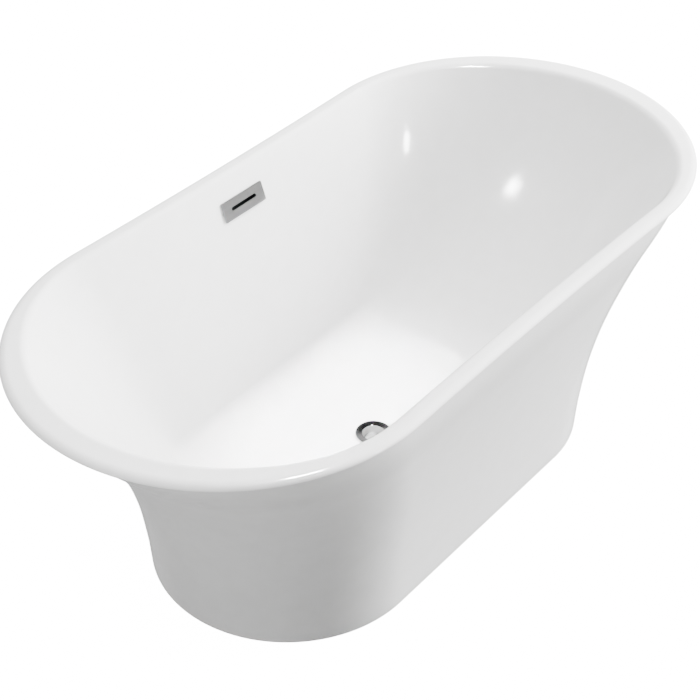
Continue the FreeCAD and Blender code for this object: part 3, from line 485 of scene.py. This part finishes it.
def basin():
    rings = []
    floor_edge = cavity_ring(FLOOR_Z)
    angle = np.arctan2(floor_edge[:, 1], floor_edge[:, 0])
    hole = DRAIN_HOLE_R * np.column_stack([np.cos(angle), np.sin(angle)])
    rings.append(lift(hole, FLOOR_Z))
    for share in np.linspace(0, 1, FLOOR_RINGS)[1:-1]:
        rings.append(lift(hole + (floor_edge - hole) * share, FLOOR_Z))
    for turn in np.linspace(0, math.pi / 2, FILLET_RINGS):
        z = FLOOR_Z + SIDE_FILLET * (1 - math.cos(turn))
        rings.append(lift(cavity_ring(z), z))
    edge_z = HEIGHT - INNER_EDGE_R
    for z in np.linspace(FLOOR_Z + SIDE_FILLET, edge_z, WALL_RINGS)[1:]:
        rings.append(lift(cavity_ring(z), z))
    corner = lift(cavity_ring(HEIGHT), HEIGHT)
    deck_start = lift(cavity_ring(HEIGHT, grow=INNER_EDGE_R), HEIGHT)
    rings += bend(rings[-1], corner, deck_start, INNER_EDGE_RINGS)
    deck_end = lift(rim_ring(EDGE_RUN), HEIGHT)
    rings += between(deck_start, deck_end, DECK_RINGS)
    for turn in np.linspace(0, math.pi / 2, OUTER_EDGE_RINGS)[1:]:
        z = HEIGHT - EDGE_DROP * (1 - math.cos(turn))
        rings.append(lift(rim_ring(EDGE_RUN * (1 - math.sin(turn))), z))
    low = HEIGHT - LIP_HEIGHT
    r = LIP_BOTTOM_R
    outer = lift(rim_ring(0.0), low + r)
    rings += between(rings[-1], outer, 2)
    under_out = lift(rim_ring(r), low)
    under_in = lift(rim_ring(SHELL - r), low)
    inner = lift(rim_ring(SHELL), low + r)
    rings += bend(outer, lift(rim_ring(0.0), low), under_out, LIP_RINGS)
    rings.append(under_in)
    rings += bend(under_in, lift(rim_ring(SHELL), low), inner, LIP_RINGS)
    seen = len(rings)
    deck_under = HEIGHT - SHELL
    rings.append(lift(rim_ring(SHELL), deck_under))
    hull_top = lift(cavity_ring(deck_under, FLOOR_SHEET), deck_under)
    rings += between(rings[-1], hull_top, DECK_BACK_RINGS)
    for z in np.linspace(deck_under, FLOOR_Z + SIDE_FILLET, WALL_BACK_RINGS)[1:]:
        rings.append(lift(cavity_ring(z, FLOOR_SHEET), z))
    under = FLOOR_Z - FLOOR_SHEET
    for turn in np.linspace(math.pi / 2, 0, FILLET_BACK_RINGS)[1:]:
        z = under + (SIDE_FILLET + FLOOR_SHEET) * (1 - math.cos(turn))
        rings.append(lift(cavity_ring(z, FLOOR_SHEET), z))
    last = rings[-1][:, :2]
    for share in np.linspace(0, 1, FLOOR_BACK_RINGS)[1:]:
        rings.append(lift(last + (hole - last) * share, under))
    materials = (MATERIALS["white_acrylic"], MATERIALS["fibre_back"])
    return sheet_object("basin", rings, materials, ((seen, len(rings), 1),))


# ---------------------------------------------------------------- skirt

def skirt():
    base = SKIRT_LOW[2]
    top = SKIRT_HIGH[2]
    r = SKIRT_EDGE_R

    def outline(z, inset=0.0):
        return lift(stadium_ring(skirt_reach(z, 1, inset), skirt_reach(z, 2, inset)), z)

    rings = [outline(z) for z in np.linspace(base + r, top, SKIRT_RINGS)]
    seen_edge = lift(stadium_ring(*FLANGE_HOLE), top)
    rings += between(rings[-1], seen_edge, 3)
    rings.append(lift(stadium_ring(*FLANGE_HOLE), top - SHELL))
    rings += between(rings[-1], outline(top - SHELL, SHELL), 3)
    back = len(rings) - 1
    rings += [outline(z, SHELL) for z in np.linspace(top - SHELL, base + r, SKIRT_BACK_RINGS)[1:]]
    inner_foot = outline(base + r, SHELL - r)
    inner_foot[:, 2] = base
    outer_foot = outline(base + r, r)
    outer_foot[:, 2] = base
    inner_corner = outline(base + r, SHELL)
    inner_corner[:, 2] = base
    outer_corner = outline(base + r)
    outer_corner[:, 2] = base
    rings += bend(rings[-1], inner_corner, inner_foot, 4)
    rings.append(outer_foot)
    rings += bend(outer_foot, outer_corner, rings[0], 4)[:-1]
    materials = (MATERIALS["white_acrylic"], MATERIALS["fibre_back"])
    return sheet_object("skirt", rings, materials, ((back, back + SKIRT_BACK_RINGS, 1),))


# ---------------------------------------------------------------- turned fittings

def turned(name, outline, materials, bands=(), segments=160):
    """Closed turned piece from (radius, height) points that go once round its section."""
    rings = []
    for r, z in outline:
        angle = np.linspace(0, 2 * math.pi, segments, endpoint=False)
        rings.append(np.column_stack([r * np.cos(angle), r * np.sin(angle), np.full(segments, z)]))
    return sheet_object(name, rings, materials, bands)


def rounded(points, radius, steps=4):
    """(radius, height) outline with its corners rounded."""
    result = []
    count = len(points)
    for k in range(count):
        before = np.array(points[k - 1])
        here = np.array(points[k])
        after = np.array(points[(k + 1) % count])
        back = before - here
        ahead = after - here
        reach = min(radius, 0.45 * np.linalg.norm(back), 0.45 * np.linalg.norm(ahead))
        start = here + back / np.linalg.norm(back) * reach
        end = here + ahead / np.linalg.norm(ahead) * reach
        for s in np.linspace(0, 1, steps + 1):
            result.append((1 - s) ** 2 * start + 2 * s * (1 - s) * here + s * s * end)
    return result


def weld(piece):
    """Join the points that lie on the axis of a turned piece."""
    shape = bmesh.new()
    shape.from_mesh(piece.data)
    bmesh.ops.remove_doubles(shape, verts=shape.verts, dist=1e-7)
    bmesh.ops.recalc_face_normals(shape, faces=shape.faces)
    shape.to_mesh(piece.data)
    shape.free()
    return piece


DRAIN_CONE = ((27, 33, 1),)     # rings of the cone inside the flange
FLANGE_DEPTH = 1.7 * MM
FLANGE_EDGE = 0.6 * MM
FLANGE_CHAMFER = 1.2 * MM
DISH_R = 22.5 * MM              # inner edge of the ring's sloping top
DISH_DROP = 1.3 * MM
CONE_TOP = (21.5 * MM, 2.0 * MM)
CONE_FOOT = (17.6 * MM, 86.0 * MM)
TAIL_TOP_Z = 84.3 * MM
TAIL_R = (15.5 * MM, 22.4 * MM)
TURNED_EDGE_R = 0.5 * MM


def drain_ring():
    low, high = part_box("drain_flange")
    top = high[2]
    flange_low = top - FLANGE_DEPTH
    outer = high[0]
    tail_in, tail_out = TAIL_R
    outline = [
        (tail_out, flange_low), (outer, flange_low), (outer, flange_low + FLANGE_EDGE),
        (outer - FLANGE_CHAMFER, top), (DISH_R, top - DISH_DROP),
        (CONE_TOP[0], top - CONE_TOP[1]), CONE_FOOT,
        (tail_in, TAIL_TOP_Z), (tail_in, low[2]), (tail_out, low[2]),
    ]
    # the flange gets dark_chrome, a painted dark reflection on the ring; the cone inside has its
    # own lighter, rougher metal
    materials = (MATERIALS["dark_chrome"], MATERIALS["cone"])
    return turned("drain_ring", rounded(outline, TURNED_EDGE_R), materials, DRAIN_CONE)


PLUG_DOME_R = 110 * MM
PLUG_FOOT_R = 14.2 * MM
PLUG_NECK_R = 12.35 * MM
PLUG_NECK_RISE = 1.9 * MM
PLUG_SKIRT = (15.0 * MM, 84.6 * MM)
PLUG_EDGE_Z = 85.8 * MM
PLUG_EDGE_R = 0.4 * MM
PLUG_RINGS = 14


def plug_dome():
    low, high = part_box("plug_cap")
    edge_r = high[0]
    centre_z = high[2] - PLUG_DOME_R
    neck_z = low[2] + PLUG_NECK_RISE
    outline = [
        (0.0, low[2]), (PLUG_FOOT_R, low[2]), (PLUG_FOOT_R, neck_z), (PLUG_NECK_R, neck_z),
        (PLUG_NECK_R, PLUG_SKIRT[1]), PLUG_SKIRT, (edge_r, PLUG_EDGE_Z),
    ]
    for r in np.linspace(edge_r, 0, PLUG_RINGS):
        outline.append((r, centre_z + math.sqrt(PLUG_DOME_R ** 2 - r ** 2)))
    body = rounded(outline[1:-1], PLUG_EDGE_R)
    outline = [outline[0]] + body + [outline[-1]]
    return weld(turned("plug_dome", outline, (MATERIALS["chrome"],)))


# ---------------------------------------------------------------- overflow

OVERFLOW_Z = 495 * MM
PLATE = (55.5 * MM, 19 * MM)    # half length and half height
PLATE_CORNER_R = 2.5 * MM
PLATE_BACK = -1 * MM
PLATE_FRONT = -3.5 * MM
PLATE_EDGE_R = 0.7 * MM
SLOT = (33.5 * MM, 3.2 * MM)    # half length and half height
STUD_X = 48 * MM
STUD_R = 2.5 * MM
STUD_END = 15 * MM
STUD_SEGMENTS = 48
THREAD_START = 3 * MM
THREAD_PITCH = 0.8 * MM
THREAD_DEPTH = 0.4 * MM
WALL_SLOT = (41 * MM, 9 * MM)   # half length and half height
WALL_CUT = 18 * MM
WALL_CUT_Y = 3 * MM
STUD_HOLE_R = 3 * MM


def side_at_middle(z):
    return side_reach(z) - RIM_WAIST * height_share(z) ** 2


def on_wall():
    """Frame on the basin wall: X along the tub, Y out through the wall, Z up the wall."""
    step = 1 * MM
    rise = side_at_middle(OVERFLOW_Z + step) - side_at_middle(OVERFLOW_Z - step)
    place = Matrix.Translation((0, side_at_middle(OVERFLOW_Z), OVERFLOW_Z))
    return place @ Matrix.Rotation(-math.atan2(rise, 2 * step), 4, "X")


def round_box_ring(half_l, half_h, r, count=40):
    """Ring of a box with rounded corners, from the quarter (0, +h) to (+l, 0)."""
    angle = np.linspace(math.pi / 2, 0, 24)
    arc = np.column_stack([half_l - r + r * np.cos(angle), half_h - r + r * np.sin(angle)])
    quarter = np.concatenate([[(0.0, half_h)], arc, [(half_l, 0.0)]])
    keep = np.concatenate([[True], np.hypot(*np.diff(quarter, axis=0).T) > 1e-9])
    return mirror_quarter(spread(quarter[keep], count))


def at_depth(ring, y):
    return np.column_stack([ring[:, 0], np.full(len(ring), y), ring[:, 1]])


def overflow_cover():
    half_l, half_h = PLATE
    e = PLATE_EDGE_R

    def outer(grow, y):
        return at_depth(round_box_ring(half_l + grow, half_h + grow, PLATE_CORNER_R), y)

    def slot(grow, y):
        return at_depth(round_box_ring(SLOT[0] + grow, SLOT[1] + grow, SLOT[1] + grow), y)

    rings = [slot(e, PLATE_FRONT)]
    rings += between(rings[0], outer(-e, PLATE_FRONT), 6)
    rings += bend(rings[-1], outer(0, PLATE_FRONT), outer(0, PLATE_FRONT + e), 5)
    rings.append(outer(0, PLATE_BACK))
    rings += between(rings[-1], slot(0, PLATE_BACK), 3)
    # the slot's side walls get black_abs: painted shade that makes the slot in the chrome plate
    # read dark
    slot_wall = len(rings) - 1
    rings.append(slot(0, PLATE_FRONT + e))
    rings += bend(rings[-1], slot(0, PLATE_FRONT), rings[0], 5)[:-1]
    materials = (MATERIALS["satin_chrome"], MATERIALS["black_abs"])
    piece = sheet_object("overflow_cover", rings, materials, ((slot_wall, slot_wall + 3, 1),))
    piece.data.transform(on_wall())
    return piece


def threaded_stud():
    """Turned stud with a chamfered tip and thread grooves, along +Z from its root."""
    length = STUD_END - PLATE_BACK
    root_r = STUD_R - THREAD_DEPTH
    outline = [(0.0, 0.0), (STUD_R, 0.0), (STUD_R, THREAD_START)]
    turns = int((length - THREAD_START - THREAD_DEPTH) / THREAD_PITCH)
    for k in range(turns):
        z = THREAD_START + k * THREAD_PITCH
        outline.append((root_r, z + 0.5 * THREAD_PITCH))
        outline.append((STUD_R, z + THREAD_PITCH))
    outline += [(root_r, length), (0.0, length)]
    return weld(turned("stud", outline, (MATERIALS["satin_chrome"],), segments=STUD_SEGMENTS))


def overflow_studs():
    """The two threaded studs behind the cover."""
    shape = bmesh.new()
    for side in (-1, 1):
        stud = threaded_stud()
        root = Matrix.Translation((side * STUD_X, PLATE_BACK, 0))
        stud.data.transform(on_wall() @ root @ Matrix.Rotation(-math.pi / 2, 4, "X"))
        shape.from_mesh(stud.data)
        bpy.data.objects.remove(stud)
    mesh = bpy.data.meshes.new("overflow_studs")
    shape.to_mesh(mesh)
    shape.free()
    mesh.materials.append(MATERIALS["satin_chrome"])
    piece = bpy.data.objects.new("overflow_studs", mesh)
    bpy.context.collection.objects.link(piece)
    return piece


def cut_overflow(piece):
    """Slot and stud holes through the basin wall, behind the cover."""
    shape = bmesh.new()
    half_l, half_h = WALL_SLOT
    middle = on_wall() @ Matrix.Translation((0, WALL_CUT_Y, 0))
    ring = round_box_ring(half_l, half_h, half_h, 24)
    loops = []
    for y in (-WALL_CUT / 2, WALL_CUT / 2):
        loops.append([shape.verts.new(middle @ Vector(p)) for p in at_depth(ring, y)])
    count = len(ring)
    for k in range(count):
        m = (k + 1) % count
        shape.faces.new((loops[0][k], loops[0][m], loops[1][m], loops[1][k]))
    shape.faces.new(loops[0])
    shape.faces.new(loops[1][::-1])
    for side in (-1, 1):
        aside = Matrix.Translation((side * STUD_X, 0, 0))
        bmesh.ops.create_cone(shape, cap_ends=True, segments=24, radius1=STUD_HOLE_R,
                              radius2=STUD_HOLE_R, depth=WALL_CUT,
                              matrix=middle @ aside @ Matrix.Rotation(math.pi / 2, 4, "X"))
    bmesh.ops.recalc_face_normals(shape, faces=shape.faces)
    mesh = bpy.data.meshes.new("cutter")
    shape.to_mesh(mesh)
    shape.free()
    cutter = bpy.data.objects.new("cutter", mesh)
    bpy.context.collection.objects.link(cutter)
    cut = piece.modifiers.new("overflow", "BOOLEAN")
    cut.operation = "DIFFERENCE"
    cut.solver = "EXACT"
    cut.object = cutter
    graph = bpy.context.evaluated_depsgraph_get()
    result = bpy.data.meshes.new_from_object(piece.evaluated_get(graph))
    piece.modifiers.clear()
    piece.data = result
    bpy.data.objects.remove(cutter)
    return piece


# ---------------------------------------------------------------- put the pieces on their bodies

PIECES = (
    (cut_overflow(basin()), "tub", "white_acrylic", ("basin_shell",)),
    (skirt(), "tub", "white_acrylic", ("skirt_shell",)),
    (drain_ring(), "tub", "dark_chrome", ("drain_flange",)),
    (plug_dome(), "plug", "chrome", ("plug_cap",)),
    (overflow_cover(), "tub", "satin_chrome", ("overflow_plate",)),
    (overflow_studs(), "tub", "satin_chrome", ("overflow_plate",)),
)
for piece, body, slot_name, replaced in PIECES:
    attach(piece, body)
    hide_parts(*replaced)


# ---------------------------------------------------------------- floor, light and camera

def flat_ground(name, z, material):
    mesh = bpy.data.meshes.new(name)
    reach = GROUND_REACH
    corners = [(-reach, -reach, z), (reach, -reach, z), (reach, reach, z), (-reach, reach, z)]
    mesh.from_pydata(corners, [], [(0, 1, 2, 3)])
    mesh.materials.append(material)
    piece = bpy.data.objects.new(name, mesh)
    bpy.context.collection.objects.link(piece)
    return piece


def floor():
    """Pale, evenly lit ground that the camera sees."""
    material, tree, shader = nodes_of("floor_white")
    field = noise(tree, 3.0)
    tree.links.new(tint(tree, field, grey(0.90), grey(0.92)), shader.inputs["Base Color"])
    tree.links.new(tint(tree, field, grey(0.97), grey(1.0)), shader.inputs["Emission Color"])
    shader.inputs["Emission Strength"].default_value = FLOOR_GLOW
    shader.inputs["Roughness"].default_value = 0.8
    piece = flat_ground("floor", 0.0, material)
    piece.visible_diffuse = False
    piece.visible_glossy = False
    piece.visible_shadow = False


def bounce():
    """Grey sheet under the ground that lights the skirt from below, with painted shade that makes
    it darker close to the tub.
    """
    material, tree, shader = nodes_of("bounce_painted_shade")
    place = add(tree, "ShaderNodeTexCoord")
    mapping = add(tree, "ShaderNodeMapping")
    mapping.inputs["Scale"].default_value = (1 / HALF_LENGTH, 1 / HALF_WIDTH, 1.0)
    away = add(tree, "ShaderNodeVectorMath", operation="LENGTH")
    tree.links.new(place.outputs["Object"], mapping.inputs["Vector"])
    tree.links.new(mapping.outputs["Vector"], away.inputs[0])
    # dark next to the tub: painted contact shadow on the bounce sheet
    shade = tint(tree, spread_values(tree, away.outputs["Value"], 0.0, 1.0, *BOUNCE_PAINTED_SHADE_FADE),
                 grey(BOUNCE_PAINTED_SHADE_GREY[0]), grey(BOUNCE_PAINTED_SHADE_GREY[1]), 0.0, 1.0)
    tree.links.new(shade, shader.inputs["Base Color"])
    shader.inputs["Roughness"].default_value = 1.0
    piece = flat_ground("bounce", BOUNCE_Z, material)
    piece.visible_camera = False
    piece.visible_glossy = False


def direction(azimuth, elevation):
    """Unit vector from degrees: azimuth 0 is the near side, 90 is +X."""
    turn = math.radians(azimuth)
    rise = math.radians(elevation)
    flat = math.cos(rise)
    return Vector((math.sin(turn) * flat, -math.cos(turn) * flat, math.sin(rise)))


def area_light(name, aim, azimuth, elevation, distance, size, power):
    """Square light that looks at a point from a compass direction and a height angle."""
    away = direction(azimuth, elevation)
    data = bpy.data.lights.new(name, "AREA")
    data.shape = "SQUARE"
    data.size = size
    data.energy = power
    lamp = bpy.data.objects.new(name, data)
    lamp.location = Vector(aim) + away * distance
    lamp.rotation_euler = (-away).to_track_quat("-Z", "Y").to_euler()
    bpy.context.collection.objects.link(lamp)
    return lamp


def sky(below, above):
    """Studio surround: one brightness under the horizon and another over it."""
    world = bpy.data.worlds.new("studio")
    world.use_nodes = True
    tree = world.node_tree
    background = tree.nodes["Background"]
    background.inputs["Color"].default_value = (1, 1, 1, 1)
    place = add(tree, "ShaderNodeTexCoord")
    height = add(tree, "ShaderNodeSeparateXYZ")
    tree.links.new(place.outputs["Generated"], height.inputs["Vector"])
    strength = spread_values(tree, height.outputs["Z"], below, above, -0.05, 0.05)
    tree.links.new(strength, background.inputs["Strength"])
    bpy.context.scene.world = world


def camera():
    back = direction(*VIEW_ANGLES)
    data = bpy.data.cameras.new("camera")
    data.lens = VIEW_LENS
    data.sensor_width = 36.0
    eye = bpy.data.objects.new("camera", data)
    eye.location = Vector(VIEW_AIM) + back * VIEW_DISTANCE
    eye.rotation_euler = (-back).to_track_quat("-Z", "Y").to_euler()
    bpy.context.collection.objects.link(eye)
    bpy.context.scene.camera = eye


VIEW_AIM = (0, 0.0575, 0.269)
VIEW_ANGLES = (-51.6, 37.14)    # azimuth and elevation
VIEW_DISTANCE = 3.149
VIEW_LENS = 86.8
GROUND_REACH = 14.0
FLOOR_GLOW = 16.0
BOUNCE_Z = -0.001
BOUNCE_PAINTED_SHADE_GREY = (0.0, 0.28)      # painted shade beside the skirt, plain grey further out
BOUNCE_PAINTED_SHADE_FADE = (1.3, 4.0)        # where the painted shade fades out, in half sizes of the rim
SKY = (0.67, 0.0)               # below and above the horizon
LIGHT_DISTANCE = 4.5
MIDDLE = (0, 0, 0.3)
# Soft lights that shade the tub: name, azimuth, elevation, size, power
SOFT_LIGHTS = (
    ("key", 60, 15, 2.8, 1231),
    ("side", 90, 50, 1.8, 545),
    ("over", 300, 70, 1.8, 257),
    ("fill", 266, 3, 1.8, 110),
    ("low", 300, 0, 0.5, 28),
    ("back", 180, 0, 0.5, 150),
)
BEAM_AIM = (0.01, 0.08, 0.1)
BEAM_HEIGHT = 2.4
BEAM_SIZE = (0.52, 0.30)
BEAM_SPREAD = 6
BEAM_POWER = 2.6
# Small lights that only glint: name, aim, azimuth, elevation, distance, size, power
GLINTS = (
    ("glint_far_corner", (0.452, 0.268, 0.431), -2, 15, 3.0, 0.22, 40),
    ("glint_end_wall", (0.543, 0.067, 0.359), -106, 41, 0.5, 0.03, 0.9),
    ("glint_floor_edge", (0.290, 0.213, 0.107), -27, 69, 3.0, 0.4, 400),
)

floor()
bounce()
sky(*SKY)
beam = area_light("beam", BEAM_AIM, 0, 90, BEAM_HEIGHT, 1.0, BEAM_POWER)
beam.data.shape = "RECTANGLE"
beam.data.size, beam.data.size_y = BEAM_SIZE
beam.data.spread = math.radians(BEAM_SPREAD)
beam.visible_glossy = False
for name, azimuth, elevation, size, power in SOFT_LIGHTS:
    lamp = area_light(name, MIDDLE, azimuth, elevation, LIGHT_DISTANCE, size, power)
    lamp.visible_glossy = False
for glint in GLINTS:
    lamp = area_light(*glint)
    lamp.visible_diffuse = False
    lamp.visible_camera = False
camera()
